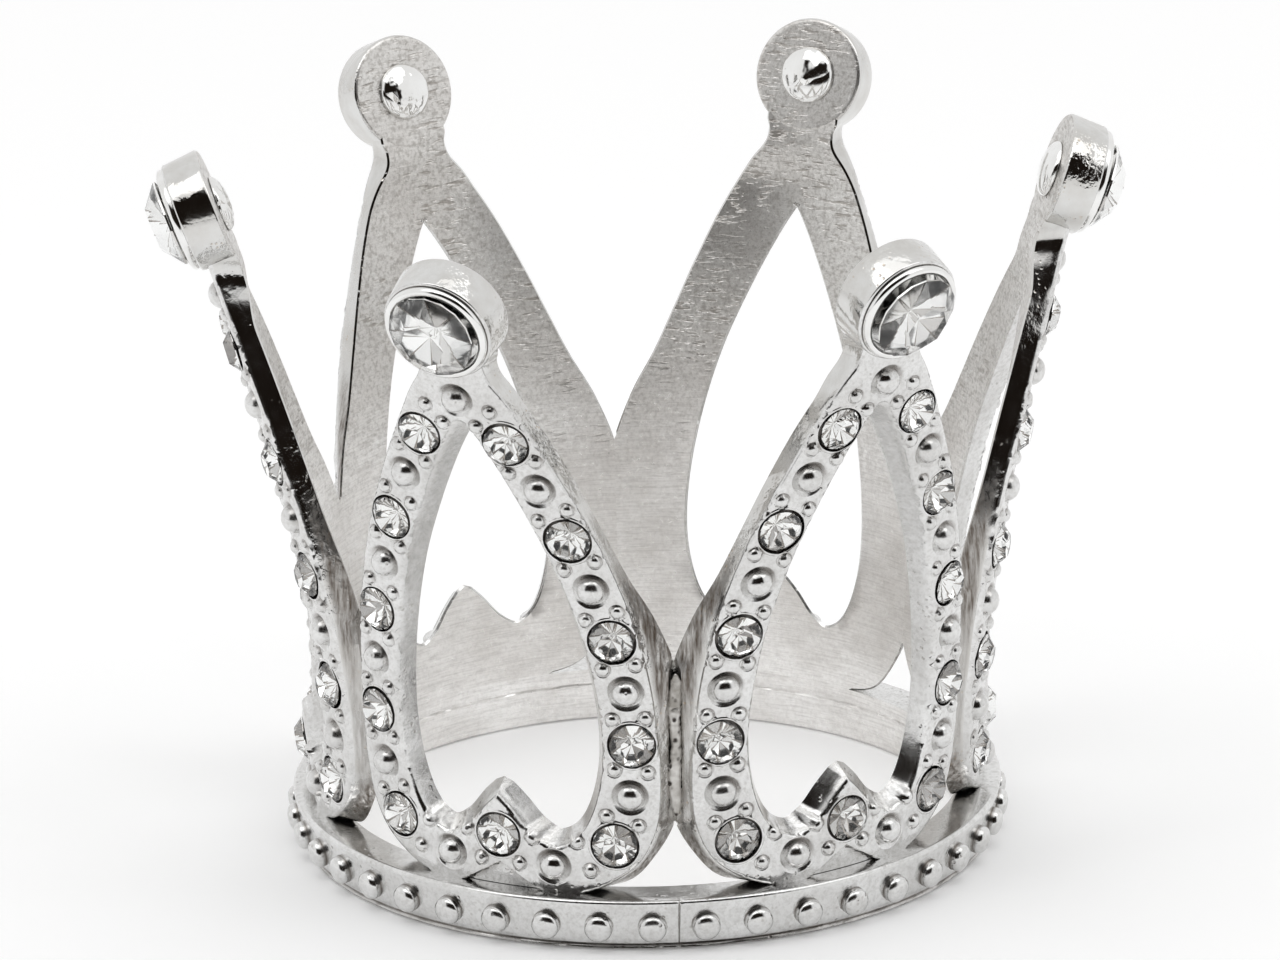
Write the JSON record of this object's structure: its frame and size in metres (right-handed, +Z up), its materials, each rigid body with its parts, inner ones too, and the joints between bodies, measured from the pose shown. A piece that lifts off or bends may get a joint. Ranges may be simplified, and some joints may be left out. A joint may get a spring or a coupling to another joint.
{
  "type": "hair crown",
  "caption": "Miniature hair crown: beaded base ring, pierced teardrop petals with heart-shaped feet, stone-set rims and round crystal-tipped points that flare outward.",
  "frame": {"origin": "centre of the base ring at its flat underside", "axes": "+Z up through the crown, -Y towards the closing seam between petal_6 and petal_1, +X towards petal_2"},
  "size_m": [0.0612, 0.054, 0.0456],
  "materials": {
    "silver_plate": "bright silver plating over zinc alloy casting, brushed on the inner faces",
    "setting_silver": "polished silver plating",
    "crystal_clear": "faceted clear crystal with silver foil back",
    "rhinestone": "faceted clear rhinestone with silver foil back",
    "solder": "dull tin solder"
  },
  "bodies": {
    "root": {"base_ring": "silver_plate", "solder_seam": "solder", "petal_1": "silver_plate", "petal_2": "silver_plate", "petal_3": "silver_plate", "petal_4": "silver_plate", "petal_5": "silver_plate", "petal_6": "silver_plate", "setting_1": "setting_silver", "setting_2": "setting_silver", "setting_3": "setting_silver", "setting_4": "setting_silver", "setting_5": "setting_silver", "setting_6": "setting_silver", "crystal_1": "crystal_clear", "crystal_2": "crystal_clear", "crystal_3": "crystal_clear", "crystal_4": "crystal_clear", "crystal_5": "crystal_clear", "crystal_6": "crystal_clear", "stone_1_left_1": "rhinestone", "stone_1_left_2": "rhinestone", "stone_1_left_3": "rhinestone", "stone_1_right_1": "rhinestone", "stone_1_right_2": "rhinestone", "stone_1_right_3": "rhinestone", "stone_2_left_1": "rhinestone", "stone_2_left_2": "rhinestone", "stone_2_left_3": "rhinestone", "stone_2_right_1": "rhinestone", "stone_2_right_2": "rhinestone", "stone_2_right_3": "rhinestone", "stone_3_left_1": "rhinestone", "stone_3_left_2": "rhinestone", "stone_3_left_3": "rhinestone", "stone_3_right_1": "rhinestone", "stone_3_right_2": "rhinestone", "stone_3_right_3": "rhinestone", "stone_4_left_1": "rhinestone", "stone_4_left_2": "rhinestone", "stone_4_left_3": "rhinestone", "stone_4_right_1": "rhinestone", "stone_4_right_2": "rhinestone", "stone_4_right_3": "rhinestone", "stone_5_left_1": "rhinestone", "stone_5_left_2": "rhinestone", "stone_5_left_3": "rhinestone", "stone_5_right_1": "rhinestone", "stone_5_right_2": "rhinestone", "stone_5_right_3": "rhinestone", "stone_6_left_1": "rhinestone", "stone_6_left_2": "rhinestone", "stone_6_left_3": "rhinestone", "stone_6_right_1": "rhinestone", "stone_6_right_2": "rhinestone", "stone_6_right_3": "rhinestone"}
  },
  "joints": []
}
